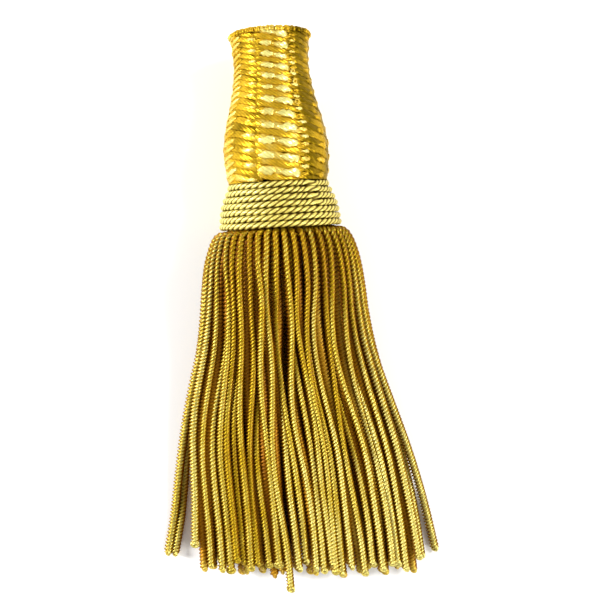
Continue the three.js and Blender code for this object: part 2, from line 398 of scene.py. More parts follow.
# Ring of one ply where a strand turns back at its tip
def eyeLoop(bundle, middle, first, second, size, thickness, tone):
    sections, sides = 12, 6
    around = 3.0  # mm, for the lines on the UV map
    faces, section, side = skinFaces(sections, sides, closed=True)
    turn, roll = math.tau * (section / sections), math.tau * (side / sides)
    spoke = np.cos(turn)[:, None] * first + np.sin(turn)[:, None] * second
    reach = size + thickness * np.cos(roll)[:, None]
    points = middle + spoke * reach + np.cross(first, second) * thickness * np.sin(roll)[:, None]
    upper, lower = section * around / sections, (section + 1) * around / sections
    left, right = side / sides, (side + 1) / sides
    uv = np.stack([left, upper, left, lower, right, lower, right, upper], axis=1).reshape(-1, 2)
    crest = 0.75 + 0.25 * np.cos(roll)  # painted shade on the inner side of the loop, never as low as between the plies of a cord
    addToBundle(bundle, placed(points), faces.tolist(), uv, crest, tone)


# Skirt: twisted bullion strands in two rings, on the lines that the solids follow, and a few between on top
skirt = {
    "sections": [  # along, half width, top, height of the widest line, lean to +X, squareness
        (1.2, 8.9, axisHigh + 8.9, axisHigh, 0.0, 2.0),
        (-0.2, 8.95, axisHigh + 8.95, axisHigh, 0.0, 2.0),
        (-0.7, 10.1, 21.2, 11.1, 0.0, 2.0),
        (-0.9, 11.4, 21.9, 11.0, 0.0, 2.0),
        (-1.7, 12.3, 22.3, 10.8, 0.0, 2.0),
        (-3.6, 13.2, 22.5, 10.5, 0.0, 2.0),
        (-6.6, 14.1, 22.3, 9.9, -0.1, 2.0),
        (-11.0, 14.8, 20.7, 9.0, -0.2, 2.05),
        (-16.5, 15.4, 17.8, 7.9, -0.4, 2.15),
        (-22.5, 16.3, 14.5, 6.7, -0.5, 2.3),
        (-29.5, 17.8, 11.3, 5.6, -0.5, 2.6),
        (-36.5, 19.3, 9.1, 4.7, -0.3, 3.0),
        (-43.5, 20.6, 7.7, 4.1, 0.1, 3.6),
        (-51.0, 21.6, 6.8, 3.7, 0.6, 4.3),
        (-58.6, 22.2, 6.3, 3.5, 1.1, 5.0),
        (-66.3, 22.6, 6.1, 3.4, 1.4, 5.5),
    ],
    "rings": [  # place: of a strand in its spacing; rise: share of the inset that it loses lower down
        # the darkness at each strand's root is painted shade, where it comes out from under the band
        {"ring": "outer", "strands": 39, "inset": 0.0, "wave": 5.3, "phase": 0.4,
         "step": 0.23, "points": 5, "plySize": 0.47, "swell": 1.0, "longer": 0.0, "rootShade": 0.1,
         "place": 0.5, "rise": 0.0},
        {"ring": "inner", "strands": 31, "inset": 1.75, "wave": 4.7, "phase": 2.1,
         "step": 0.30, "points": 4, "plySize": 0.6, "swell": 1.45, "longer": 1.2, "rootShade": 0.5,
         "place": 0.5, "rise": 0.0},
        {"ring": "between", "strands": 39, "inset": 1.5, "wave": 5.3, "phase": 0.4,
         "step": 0.23, "points": 5, "plySize": 0.47, "swell": 1.0, "longer": 0.4, "rootShade": 0.5,
         "place": 1.0, "rise": 0.9},
    ],
    "stray": {  # strands that stand out: longer, wider, lower at the tip, and how late they part
        ("outer", 37): (4.45, 0.0, 0.0, 2),
        ("outer", 9): (0.3, 2.9, 3.3, 2),
        ("outer", 8): (-1.0, 1.1, 0.0, 2),
        ("outer", 10): (0.0, 0.7, 0.0, 1.2),
        ("outer", 29): (0.0, -5.2, 2.5, 2.7),
        ("outer", 28): (-0.7, -4.1, 1.6, 3.6),
        ("outer", 30): (-2.0, 0.0, 0.0, 2),
        ("outer", 32): (1.4, 0.0, 0.0, 2),
        ("outer", 36): (-1.3, 0.6, 0.0, 2),
        ("outer", 4): (2.3, 0.0, 0.0, 2),
    },
    "toneOf": {  # of outer strands, one by one
        # partly the strands' own tones; the low ones of 33 to 35 are painted shade at the lower left of the
        # hem
        28: 0.35, 29: 0.3, 30: 0.95, 31: 0.2, 33: -0.35, 34: -0.1, 35: -0.5, 36: 0.05, 37: 0.2,
        5: 0.35, 6: 0.5, 7: 0.45, 8: 0.85, 9: 0.8,
    },
    "openEyes": (30, 32, 36, 2, 6),  # outer strands whose end loop faces up
    "solidHalf": 0.64,  # half the width of a strand in the solids
    "floorPress": 0.8,  # the lowest strands are pressed level by this
    "gather": 0.18,  # strands closer on top at the shoulder
    "gatherFades": (8.0, 45.0),  # mm down from the band
    "between": (31, 33, 35, 37, 0, 2, 4, 6),  # outer strands with another beside them that comes up
    "rises": (14.0, 40.0),  # mm down from the band, where it comes up
    "giveWay": 8,  # outer strands to each side of the middle that make room for these
    "room": 0.17,
    "looseFrom": 9.0,
    "drift": 0.26,
    "lengthSpread": 2.4,
    "lengthPace": 0.618,  # golden share, so that neighbours differ
    "tipArch": 1.6,
    "tipSkew": 1.4,
    "outlineSteps": 240,
    "lineSteps": 24,
    "rootRadius": 0.6,
    "tipRadius": 0.9,
    "thickSpread": (0.94, 1.06),
    "fills": (0.02, 0.6),  # shares of its length over which a strand reaches its full radius
    "slimFills": (0.1, 1.4),  # the same where others come up beside it
    "swells": (0.0, 0.06),  # and over which an inner strand swells
    "swellFades": (0.8, 0.97),
    "wander": 0.45,
    "wanderWaves": (0.7, 1.8),
    "wanderGrows": (0.05, 0.3),
    "wanderFades": (0.55, 1.0),
    "wanderFade": 0.6,
    "settles": (0.04, 0.2),
    "aside": 0.28,  # how far a strand may lie off its own line
    "sunk": 0.5,
    "sunkSpread": (-1, 0.4),
    "leaning": {  # outer strands that lean over, aside and up, and the shares of their length where they do
        32: (0.7, 0.6, (0.06, 0.24, 0.34, 0.7)),
        34: (-0.5, 0.3, (0.06, 0.24, 0.34, 0.7)),
        35: (0.3, 0.1, (0.04, 0.18, 0.34, 0.7)),
        36: (0.5, 0.6, (0.06, 0.24, 0.34, 0.7)),
        3: (-0.5, 0.2, (0.06, 0.3, 0.5, 0.85)),
        5: (-0.45, 0.4, (0.06, 0.24, 0.34, 0.7)),
        30: (0.5, 0.2, (0.55, 0.78, 0.82, 1.02)),
    },
    "toneBase": 0.12,
    "toneAcross": 0.012,  # brighter for each mm to +X
    "toneSpread": 0.5,
    "hemTone": 1.9,  # painted light: brighter towards the hem at +X
    "hemFrom": 0.55,
    "hemWide": 25.0,
    "hemMost": 2.0,
    # the inner strands' lower tone is painted shade
    "innerShade": 0.45,
    "innerTip": (0.95, 1.0),  # an inner strand has less of that painted shade at its tip
    "shows": (0.2, 0.55),  # where a strand that comes up takes the outer ones' tone
    "plies": 3,
    "lead": 2.45,  # mm for a whole turn of the twist
    "leadSpread": (0.95, 1.06),
    "tighten": 0.0006,  # more turns towards the tip
    "filledRoot": 0.42,  # how much of the painted shade in the valleys between the plies is lifted
    # and how much more of it is lifted towards the hem
    "filledMore": 0.3,
    "fillsMore": (0.3, 1.0),
    # shares of the length over which that painted shade at the root fades
    "rootShadeFades": (0.06, 0.4),
    "seamShade": 2.0,  # painted shade: dark lines where strands touch
    "seamFrom": 0.58,
    "tipRound": 0.3,
    "tipBlunt": 0.88,
    "eyeSize": 0.64,
    "eyeFlat": 0.8,
    "eyeThickness": 0.36,
    "eyeBack": 0.3,
    "eyeSpin": (0.4, 1.3),  # radians
    "openSpin": 0.1,
    "seed": 41,
}
bullionLook = {
    "deep": (0.30, 0.125, 0.0005, 1),
    "dull": (0.40, 0.220, 0.003, 1),
    "body": (0.51, 0.355, 0.009, 1),
    "bright": (0.78, 0.68, 0.20, 1),
    "linesAcross": math.tau * 24,
    "linesAlong": math.tau * 1.1,
    "lineDepth": 0.22,
    "crestGain": 0.3,
    "bump": 0.35,
    "metal": 0.75,
    "soft": 0.52,
    "gloss": 0.4,
    "edgeTint": (1.0, 0.82, 0.38, 1),
    "coat": 0.12,
}
paintedShadeLook = {  # the inner ring: painted shade, darker and red as with the light between the strands
    **bullionLook,
    "deep": (0.21, 0.055, 0.0005, 1),
    "dull": (0.35, 0.125, 0.001, 1),
    "body": (0.48, 0.225, 0.003, 1),
    "bright": (0.74, 0.56, 0.08, 1),
    "crestGain": 0.0,
    "metal": 0.5,
}


def ovalOutline(section, inset):
    half, top, middle, lean, square = section[1:]
    turn = np.linspace(0, math.tau, skirt["outlineSteps"] + 1)
    across = np.sign(np.sin(turn)) * np.abs(np.sin(turn)) ** (2 / square)
    up = np.sign(np.cos(turn)) * np.abs(np.cos(turn)) ** (2 / square)
    rest = skirt["solidHalf"] + inset
    low = max(rest - skirt["floorPress"], axisHigh - half + inset)
    rise = np.where(up > 0, top - inset - middle, middle - low)
    return np.stack([lean + (half - inset) * across, np.maximum(rest, middle + rise * up)], axis=1)


def outlinePoint(outline, share):
    reach = reachAlong(outline)
    wanted = (share % 1) * reach[-1]
    return np.array([np.interp(wanted, reach, outline[:, k]) for k in range(2)])


def smoothShare(value, low, high):
    share = np.clip((value - low) / (high - low), 0, 1)
    return share * share * (3 - 2 * share)


def roomMade(ring, strand):  # -1 or 1 where an outer strand gives way to that side, else 0
    order = (strand + ring["strands"] / 2) % ring["strands"] - ring["strands"] / 2
    if ring["ring"] != "outer" or abs(order + 0.5) > skirt["giveWay"]:
        return 0
    return 2 * (order % 2) - 1


def strandStations(ring, strand):
    sections = skirt["sections"]
    tipAlong = sections[-1][0]
    uneven = skirt["lengthSpread"] * (((strand + 1) * skirt["lengthPace"]) % 1 - 0.5)
    longer, wider, lower, late = skirt["stray"].get((ring["ring"], strand), (0, 0, 0, 1))
    stations = []
    for index, section in enumerate(sections):
        along, half, lean = section[0], section[1], section[4]
        above, below = sections[max(index - 1, 0)], sections[min(index + 1, len(sections) - 1)]
        slope = math.atan2(below[1] - above[1], above[0] - below[0])
        loose = smoothShare(-along, skirt["looseFrom"], -tipAlong)
        place = strand + ring["place"]
        drift = skirt["drift"] * math.sin(math.tau * (place - 0.5) / ring["wave"] + ring["phase"] + loose)
        share = (place + loose * drift) / ring["strands"]
        gathered = skirt["gather"] * (1 - smoothShare(-along, *skirt["gatherFades"]))
        share -= gathered * math.sin(math.tau * share) / math.tau
        risen = smoothShare(-along, *skirt["rises"])
        share += risen * skirt["room"] * roomMade(ring, strand) / ring["strands"]
        inset = ring["inset"] * (1 - ring["rise"] * risen)
        spot = outlinePoint(ovalOutline(section, inset), share)
        aside = (spot[0] - lean) / half
        arched = skirt["tipArch"] * aside**4 - skirt["tipSkew"] * aside
        along += loose * (arched - uneven - longer - ring["longer"])
        along -= inset * math.tan(slope / 2)
        parted = max(0, (section[0] + skirt["looseFrom"]) / (tipAlong + skirt["looseFrom"])) ** late
        stations.append((spot[0] + parted * wider, along, spot[1] - loose**3 * lower))
    return stations


def makeStrand(bundle, ring, strand, draws):
    line = evenLine(softLine(strandStations(ring, strand), skirt["lineSteps"]), ring["step"])
    down = np.linspace(0, 1, len(line))

    def over(name):  # 0 to 1 between the two shares of the strand's length
        return smoothShare(down, *skirt[name])

    facing = abs(math.cos(math.tau * (strand + 0.5) / ring["strands"]))  # 0 at the sides
    free = over("wanderGrows") * (1 - skirt["wanderFade"] * over("wanderFades"))
    for axis in (0, 2):
        wave, phase = draws.uniform(*skirt["wanderWaves"]), draws.uniform(0, math.tau)
        line[:, axis] += skirt["wander"] * facing * free * np.sin(math.tau * wave * down + phase)
    settled = over("settles") * facing
    line[:, 0] += skirt["aside"] * settled * draws.uniform(-1, 1)
    line[:, 2] += skirt["sunk"] * settled * draws.uniform(*skirt["sunkSpread"])
    outside = ring["ring"] == "outer"
    if outside and strand in skirt["leaning"]:
        aside, up, (leave, far, turn, back) = skirt["leaning"][strand]
        crossing = smoothShare(down, leave, far) * (1 - smoothShare(down, turn, back))
        line[:, 0] += crossing * aside
        line[:, 2] += crossing * up
    thick = draws.uniform(*skirt["thickSpread"])
    slim = ring["rise"] > 0 or roomMade(ring, strand) != 0
    full = over("slimFills" if slim else "fills")
    radius = skirt["rootRadius"] + (skirt["tipRadius"] - skirt["rootRadius"]) * full
    fuller = over("swells") * (1 - over("swellFades"))
    radius = radius * thick * (1 + (ring["swell"] - 1) * fuller)
    line[:, 2] = np.maximum(line[:, 2], radius)
    left = (1 - down) * ring["step"] * (len(line) - 1)
    rounding = np.clip(1 - left / skirt["tipRound"], 0, skirt["tipBlunt"])
    radius = radius * np.sqrt(1 - rounding**2)
    across = np.cross(unit(np.gradient(line, axis=0)), np.array([0, 0, 1.0]))
    filled = skirt["filledRoot"] + skirt["filledMore"] * over("fillsMore")
    twist = {
        "plies": skirt["plies"],
        "pointsPerPly": ring["points"],
        "plySize": ring["plySize"],
        "start": draws.uniform(),
        "hand": 1,
        "lead": skirt["lead"] * draws.uniform(*skirt["leadSpread"]),
        "upset": skirt["tighten"] * (down * ring["step"] * len(line)) ** 2,
        # less filled near the root: painted shade under the band
        "filled": filled - ring["rootShade"] * (1 - over("rootShadeFades")),
        "seamShade": skirt["seamShade"],
        "seamFrom": skirt["seamFrom"],
    }
    tone = skirt["toneBase"] + skirt["toneAcross"] * line[-1][0] + skirt["toneSpread"] * draws.uniform(-1, 1)
    toRight = np.clip(0.5 + line[:, 0] / skirt["hemWide"], 0, skirt["hemMost"])
    # painted light towards the hem at +X
    hem = skirt["hemTone"] * (down - skirt["hemFrom"]) * toRight
    risen = over("shows") * (ring["rise"] > 0)
    if outside:
        tone = skirt["toneOf"].get(strand, tone) + hem
    else:
        # inner strands take painted shade, less where they come up
        tone = tone + risen * hem - (1 - risen) * (skirt["innerShade"] - over("innerTip"))
    upward = np.tile([0, 0, 1.0], (len(line), 1))
    twistedCord(bundle, line, upward, radius, twist, tone)
    onward = unit(line[-1] - line[-4])
    spin = draws.uniform(*skirt["eyeSpin"])
    if outside and strand in skirt["openEyes"]:
        spin = skirt["openSpin"]
    second = unit(math.cos(spin) * across[-1] + math.sin(spin) * np.cross(onward, across[-1]))
    size = skirt["eyeSize"] * thick
    thickness = skirt["eyeThickness"] * thick
    middle = line[-1] - onward * (skirt["eyeBack"] * size)
    lowest = middle[2] - size - thickness
    middle[2] += max(0, -lowest)
    eyeLoop(bundle, middle, onward * skirt["eyeFlat"], second, size, thickness, tone[-1])


def makeSkirt(outerMaterial, innerMaterial):
    outer, inner, between = skirt["rings"]
    half = outer["strands"] // 2
    draws = np.random.default_rng(skirt["seed"])
    for name, ring, strands, material in (
        ("skirt_outer_right", outer, range(half), outerMaterial),
        ("skirt_outer_left", outer, range(half, outer["strands"]), outerMaterial),
        ("skirt_inner", inner, range(inner["strands"]), innerMaterial),
        ("skirt_between", between, skirt["between"], outerMaterial),
    ):
        bundle = newBundle()
        for strand in strands:
            makeStrand(bundle, ring, strand, draws)
        piece = bundlePiece(name, bundle, material)
        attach(piece, "root")
        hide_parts("skirt")
        print(name, "strands:", len(strands), "faces:", len(piece.data.polygons))


bullion = giltMaterial("giltBullion", bullionLook)
paintedShadeBullion = giltMaterial("giltBullionPaintedShade", paintedShadeLook)
makeSkirt(bullion, paintedShadeBullion)


# Turned forms: a disc raised row by row, as on a lathe
creaseAngle = 50  # degrees, from which an edge stays sharp


def turnedForm(name, rows, sides, material):
    bpy.ops.object.select_all(action="DESELECT")
    along, radius = rows[0]
    start = (axisX, bandFoot + along * mm, axisZ)
    bpy.ops.mesh.primitive_circle_add(vertices=sides, radius=radius * mm, fill_type="NGON",
                                      location=start, rotation=(math.radians(-90), 0, 0))
    form = bpy.context.object
    form.name = name
    bpy.ops.object.transform_apply(location=True, rotation=True, scale=True)
    bpy.ops.object.mode_set(mode="EDIT")
    bpy.ops.mesh.select_all(action="SELECT")
    for (alongNow, radiusNow), (alongNext, radiusNext) in zip(rows, rows[1:]):
        step = (0, (alongNext - alongNow) * mm, 0)
        bpy.ops.mesh.extrude_region_move(TRANSFORM_OT_translate={"value": step})
        grow = radiusNext / radiusNow
        middle = (axisX, bandFoot + alongNext * mm, axisZ)
        bpy.ops.transform.resize(value=(grow, 1, grow), center_override=middle)
    bpy.ops.mesh.select_all(action="SELECT")
    bpy.ops.mesh.normals_make_consistent(inside=False)
    bpy.ops.object.mode_set(mode="OBJECT")
    bpy.ops.object.shade_smooth_by_angle(angle=math.radians(creaseAngle))
    form.data.materials.append(material)
    return form


# Band: one cord of three plies wound round the heading
band = {
    "turns": [11.3, 11.2, 11.05, 10.8, 10.4, 9.9, 9.4],  # outer radius of each turn, from the skirt up
    "pitch": 1.17,
    "cordRadius": 0.585,
    "stepWide": 60.0,  # degrees on the underside in which each turn climbs to the next
    "sway": 0.04,
    "swayPace": 5.3,
    "rumpleAt": 37.0,  # degrees from the top towards +X, where the upper turns are rumpled
    "rumpleWide": 16.0,
    "rumpleTurns": (1.6, 3.2),  # it grows over these
    "rumpleAlong": (0.1, 11, 2.4),  # mm, waves round the band, and their shift from turn to turn
    "rumpleOut": (0.1, 19, 1.9),
    "rumpleThick": (0.12, 23),  # share of the radius, and waves
    "rumpleTwist": (0.2, 9),  # share of a whole twist, and waves
    "tuck": 1.1,  # how far both ends go in
    "tuckOver": 0.06,  # of a turn
    "sample": 0.33,
    "stepsPerTurn": 400,  # to measure the cord's length
    "lead": 4.05,
    "plies": 3,
    "pointsPerPly": 5,
    "plySize": 0.58,
    "filledLeft": 0.1,  # painted light: valleys less deep on the left
    "filledTo": 0.35,
    # painted shade in the seams where the turns touch, deeper on the right
    "seamShade": 0.6,
    "seamRight": 0.15,
    "seamFrom": 0.62,
    "tone": 0.12,
    # painted light: the cord lighter on the left, darker on the right
    "paintedLightLeft": 0.4,
    "toneRumple": 0.3,
    "headingUnder": 1.3,
    "headingFoot": [(0.1, 0.5), (0.4, 0.1), (1.2, 0.0)],  # along, and how far in
    "headingTop": (0.1, 0.4),
    "headingSides": 48,
}
cordLook = {
    "deep": (0.15, 0.09, 0.004, 1),
    "dull": (0.50, 0.36, 0.06, 1),
    "body": (0.86, 0.72, 0.16, 1),
    "bright": (1.0, 0.95, 0.34, 1),
    "linesAcross": math.tau * 24,
    "linesAlong": math.tau * 1.0,
    "lineDepth": 0.22,
    "crestGain": 0.0,
    "bump": 0.3,
    "metal": 0.4,
    "soft": 0.45,
    "gloss": 0.3,
    "edgeTint": (1.0, 0.93, 0.6, 1),
    "coat": 0.12,
}


def bandWay(spin):  # the cord's line, how rumpled it is and its angle, by turns from the underside
    turns = len(band["turns"])
    turn = np.minimum(spin.astype(int), turns - 1)
    level = np.minimum(turn + smoothShare(spin - turn, 1 - band["stepWide"] / 360, 1), turns - 1)
    outer = np.interp(level, np.arange(turns), band["turns"])
    ends = smoothShare(np.minimum(spin, turns - spin), 0, band["tuckOver"])
    angle = math.pi + math.tau * spin
    off = np.degrees((angle - math.radians(band["rumpleAt"]) + math.pi) % math.tau - math.pi)
    rumple = np.exp(-((off / band["rumpleWide"]) ** 2)) * smoothShare(level, *band["rumpleTurns"])
    along = band["pitch"] * (level + 0.5) + band["sway"] * np.sin(band["swayPace"] * angle)
    size, waves, shift = band["rumpleAlong"]
    along = along + rumple * size * np.sin(waves * angle + shift * turn)
    radius = outer - band["cordRadius"] - band["tuck"] * (1 - ends)
    size, waves, shift = band["rumpleOut"]
    radius = radius + rumple * size * np.sin(waves * angle + shift * turn)
    height = np.maximum(axisHigh + radius * np.cos(angle), band["cordRadius"])
    return np.stack([radius * np.sin(angle), along, height], axis=1), rumple, angle


def makeBand(material):
    turns = len(band["turns"])
    spin = np.linspace(0, turns, turns * band["stepsPerTurn"] + 1)
    reach = reachAlong(bandWay(spin)[0])
    spin = np.interp(np.linspace(0, reach[-1], int(reach[-1] / band["sample"])), reach, spin)
    line, rumple, angle = bandWay(spin)
    side = np.stack([line[:, 0], np.zeros(len(line)), line[:, 2] - axisHigh], axis=1)
    size, waves = band["rumpleThick"]
    thick = band["cordRadius"] * (1 + size * rumple * np.sin(waves * angle))
    size, waves = band["rumpleTwist"]
    twist = {
        "plies": band["plies"],
        "pointsPerPly": band["pointsPerPly"],
        "plySize": band["plySize"],
        "start": 0.0,
        "hand": -1,
        "lead": band["lead"],
        "upset": size * rumple * np.sin(waves * angle),
        # painted light in the valleys on the left, painted shade in the seams, more on the right
        "filled": band["filledLeft"] * np.clip(band["filledTo"] - np.sin(angle), 0, 1),
        "seamShade": band["seamShade"] + band["seamRight"] * np.sin(angle),
        "seamFrom": band["seamFrom"],
    }
    # painted light on the left, painted shade on the right; brighter where rumpled
    tone = band["tone"] - band["paintedLightLeft"] * np.sin(angle) + band["toneRumple"] * rumple
    bundle = newBundle()
    twistedCord(bundle, line, unit(side), thick, twist, tone)
    cord = bundlePiece("band_cord", bundle, material)
    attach(cord, "root")
    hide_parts("band")
    print("band_cord wound:", turns, "turns, faces:", len(cord.data.polygons))


cordGilt = giltMaterial("giltCord", cordLook)
makeBand(cordGilt)


# Plain gilt for the turned forms under the threads
underGrain = {
    "scale": 900,
    "darkTo": 0.3,  # of the noise
    "lightFrom": 0.7,
    "gloss": 0.1,
}
headingLook = {
    # dark: painted shade for what shows between the band's turns
    "dark": (0.09, 0.04, 0.003, 1),
    "light": (0.2, 0.1, 0.006, 1),
    "rough": 0.6,
}


def underMaterial(name, look):
    material = bpy.data.materials.new(name)
    material.use_nodes = True
    tree = material.node_tree
    shader = tree.nodes["Principled BSDF"]
    place = addNode(tree, "ShaderNodeTexCoord")
    grain = addNode(tree, "ShaderNodeTexNoise")
    grain.inputs["Scale"].default_value = underGrain["scale"]
    tree.links.new(place.outputs["Object"], grain.inputs["Vector"])
    share = rampNode(tree, grain.outputs[0], underGrain["darkTo"], underGrain["lightFrom"])
    colour = mixNode(tree, share, look["dark"], look["light"])
    tree.links.new(colour, shader.inputs["Base Color"])
    shader.inputs["Roughness"].default_value = look["rough"]
    shader.inputs["Specular IOR Level"].default_value = underGrain["gloss"]
    return material


def makeHeading(material):
    first, last = band["turns"][0] - band["headingUnder"], band["turns"][-1] - band["headingUnder"]
    top = band["pitch"] * len(band["turns"])
    rows = [(along, first - inward) for along, inward in band["headingFoot"]]
    for turn, radius in enumerate(band["turns"][1:], 1):
        rows.append((band["pitch"] * (turn + 0.5), radius - band["headingUnder"]))
    above, inward = band["headingTop"]
    rows += [(top, last), (top + above, last - inward)]
    heading = turnedForm("skirt_heading", rows, band["headingSides"], material)
    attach(heading, "root")
    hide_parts("skirt")
    print("skirt_heading turned, faces:", len(heading.data.polygons))


underGilt = underMaterial("giltUnder", headingLook)
makeHeading(underGilt)

# Head: a turned vase under slanting rows of thread floats
head = {
    "sections": [  # along, radius
        (8.55, 9.15),
        (11.0, 9.5),
        (14.4, 9.65),
        (18.4, 9.05),
        (23.4, 7.75),
        (28.8, 6.85),
        (32.6, 7.05),
        (34.9, 7.25),
    ],
    "profileSteps": 20,
    "formSkip": 7,  # one of so many points of the profile makes a row of the form
    "formSides": 56,
    "footIn": 0.8,
    "rimAlong": 35.3,
    "lip": [(0.1, 0.15), (0.0, 0.6)],  # down from the rim, and in from the form's edge
    "mouthEdge": [(0.0, 0.5), (0.2, 0.12), (0.6, 0.0)],  # down from the rim, and out from the mouth's wall
    "mouthRadius": 4.75,
    "mouthDepth": 13.0,
    "mouthFloor": 1.0,
    "underFloats": 0.45,  # how far the form lies under the solid's surface
    "pastFoot": 0.3,  # how far a float may go past both ends of the profile
    "pastRim": 0.1,
    "columns": 7,
    "columnAt": 4.8,  # degrees from the top towards +X to the middle of the first column
    "rowShare": 0.137,  # row pitch over radius
    "rowsPerTurn": 10,  # how many rows a slanting row climbs in one turn
    "rowsPastFoot": 0.9,
    "rowsPastRim": 0.4,
    "rowTones": (-0.12, 0.15),  # of even and odd rows
    "rowToneSpread": 0.12,
    "floatReach": 1.16,
    "looseLoops": [(33, 27.3), (34, 25.6), (32, 21.9)],  # degrees from the top, along
    "loopSize": 0.4,
    "loopThick": 0.15,
    "loopLean": 0.3,
    "loopTone": 0.3,
    "archAt": 6,  # the column to the left of the top, whose ribbons arch
    "arch": 0.45,
    "blotch": 0.24,  # unevenness of a ribbon's tone
    "ragged": 0.2,  # and of its edges
    "liftSpread": 0.05,
    "ribbonEdge": 0.05,
    "ribbonThick": 0.1,
    "ribbonCrest": 0.45,
    "ribbonRise": 0.4,  # of the crest, for height and lift
    "stitchHigh": 0.22,
    "stitchEvery": 2,  # rows
    "stitchClear": 0.3,  # rows left free at the rim
    "stitchTone": 0.2,
    "stitchGrow": (0.88, 1.12),
    "stitchStray": 0.02,
    "stitchRagged": (0.6, 1.3),
    "stitchBlotch": (-0.3, 0.2),
    "stitchFade": 0.45,  # painted shade: how much less bright a stitch is at its ends
    # and at its edges, also painted shade
    "edgeFade": 0.3,
    "stitches": [  # degrees at foot and rim, half length and width, climb, lift, first row, tone
        # their tones are partly the stitches' own pale colour, partly painted highlight where the front
        # columns face the light
        (-68, -68, 3.0, 0.50, 0.60, 0.36, 1.24, 0.75),
        (-68, -68, 3.0, 0.46, 0.60, 0.36, 0.24, 0.5),
        (-32, -29, 1.5, 0.55, -0.10, 0.34, 0.06, 0.45),
        (-10, -4, 1.55, 0.86, -0.10, 0.40, 1.22, 0.95),
        (14, 15.5, 1.9, 0.98, -0.24, 0.42, 0.75, 1.25),
        (32, 34, 1.0, 0.40, -0.05, 0.42, 1.50, 0.75),
        (32, 34, 1.0, 0.40, -0.05, 0.40, 0.50, 0.15),
        (58, 70, 1.45, 0.62, -0.10, 0.36, 0.40, 0.0),
        (94, 98, 1.7, 0.60, -0.2, 0.40, 1.1, 0.6),
        (122, 122, 1.7, 0.60, -0.2, 0.40, 0.4, 0.6),
        (150, 150, 1.7, 0.60, -0.2, 0.40, 1.5, 0.6),
        (178, 178, 1.7, 0.60, -0.2, 0.40, 0.8, 0.6),
        (-154, -154, 1.7, 0.60, -0.2, 0.40, 0.1, 0.6),
        (-126, -126, 1.7, 0.60, -0.2, 0.40, 1.3, 0.6),
        (-98, -98, 1.8, 0.60, 0.3, 0.40, 0.6, 0.6),
    ],
    "seed": 7,
    "azimuthToneAndLight": [  # degrees from the top towards +X, at foot and rim, and the threads' tone there: partly their own colour by column, partly painted light and shade by which way they face
        (-180, -180, -0.1),
        (-100, -100, 0.35),
        (-78, -78, 0.2),
        (-60, -60, -0.25),
        (-48, -50, -0.45),
        (-24, -18, -0.4),
        (-18, -9, 0.0),
        (5, 8, 0.0),
        (14, 16, 0.1),
        (26, 25, 0.0),
        (31, 33, -0.7),
        (38, 48, -1.2),
        (45, 62, -1.0),
        (58, 72, -0.8),
        (80, 86, -0.9),
        (120, 120, 0.0),
        (180, 180, -0.1),
    ],
}
plaitLook = {
    "deep": (0.36, 0.18, 0.006, 1),
    # dull: for low tones, the threads' own darker rows and the painted shade on the head's right side
    "dull": (0.18, 0.11, 0.001, 1),
    "body": (0.70, 0.42, 0.022, 1),
    "bright": (1.0, 0.92, 0.30, 1),
    "linesAcross": math.tau * 0.9,
    "linesAlong": math.tau * 3,
    "lineDepth": 0.24,
    "crestGain": 0.0,
    "bump": 0.7,
    "metal": 0.55,
    "soft": 0.45,
    "gloss": 0.08,
    "edgeTint": (1.0, 0.82, 0.38, 1),
    "coat": 0.0,
}
formLook = {
    "dark": (0.34, 0.16, 0.006, 1),
    "light": (0.5, 0.26, 0.01, 1),
    "rough": 0.5,
}


def headProfile():
    sides = softLine(head["sections"], head["profileSteps"])
    return sides[:, 0], sides[:, 1]


def makeHeadForm(material):
    alongs, radii = headProfile()
    lower = head["underFloats"]
    rows = [(alongs[0], radii[0] - lower - head["footIn"])]
    skip = head["formSkip"]
    rows += [(along, radius - lower) for along, radius in zip(alongs[::skip], radii[::skip])]
    rim, mouth = head["rimAlong"], head["mouthRadius"]
    lip = radii[-1] - lower
    rows += [(rim - down, lip - inward) for down, inward in head["lip"]]
    rows += [(rim - down, mouth + outward) for down, outward in head["mouthEdge"]]
    rows += [(rim - head["mouthDepth"], mouth), (rim - head["mouthDepth"], head["mouthFloor"])]
    form = turnedForm("head_form", rows, head["formSides"], material)
    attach(form, "root")
    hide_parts("head")
    print("head_form turned, faces:", len(form.data.polygons))


floatShapes = {  # share of the half length, width, height
    "stitch": [  # pointed to the left, blunt to the right
        (-1.0, 0.16, 0.0),
        (-0.74, 0.45, 0.45),
        (-0.46, 0.70, 0.75),
        (-0.16, 0.92, 0.95),
        (0.16, 1.0, 1.0),
        (0.44, 1.0, 0.95),
        (0.74, 0.85, 0.75),
        (1.0, 0.50, 0.1),
    ],
    "ribbon": [  # flat, from groove to groove
        (-1.0, 0.80, 0.12),
        (-0.82, 1.10, 0.21),
        (-0.60, 1.16, 0.24),
        (-0.38, 1.20, 0.26),
        (-0.14, 1.16, 0.23),
        (0.12, 1.16, 0.23),
        (0.38, 1.20, 0.26),
        (0.62, 1.16, 0.24),
        (0.84, 1.10, 0.21),
        (1.0, 0.80, 0.12),
    ],
    "ring": [(1.0, -0.3), (0.66, 0.66), (0.0, 1.0), (-0.66, 0.66), (-1.0, -0.3), (0.0, -0.8)],
}


def spread(draws, most):  # a draw to either side of 0
    return draws.uniform(-most, most)


def sideToneAndLight(angle, along, alongs):
    atFoot, atRim, offsets = np.array(head["azimuthToneAndLight"]).T
    rise = np.clip((along - alongs[0]) / (alongs[-1] - alongs[0]), 0, 1)
    azimuth = (math.degrees(angle) + 180) % 360 - 180
    return np.interp(azimuth, atFoot + (atRim - atFoot) * rise, offsets)


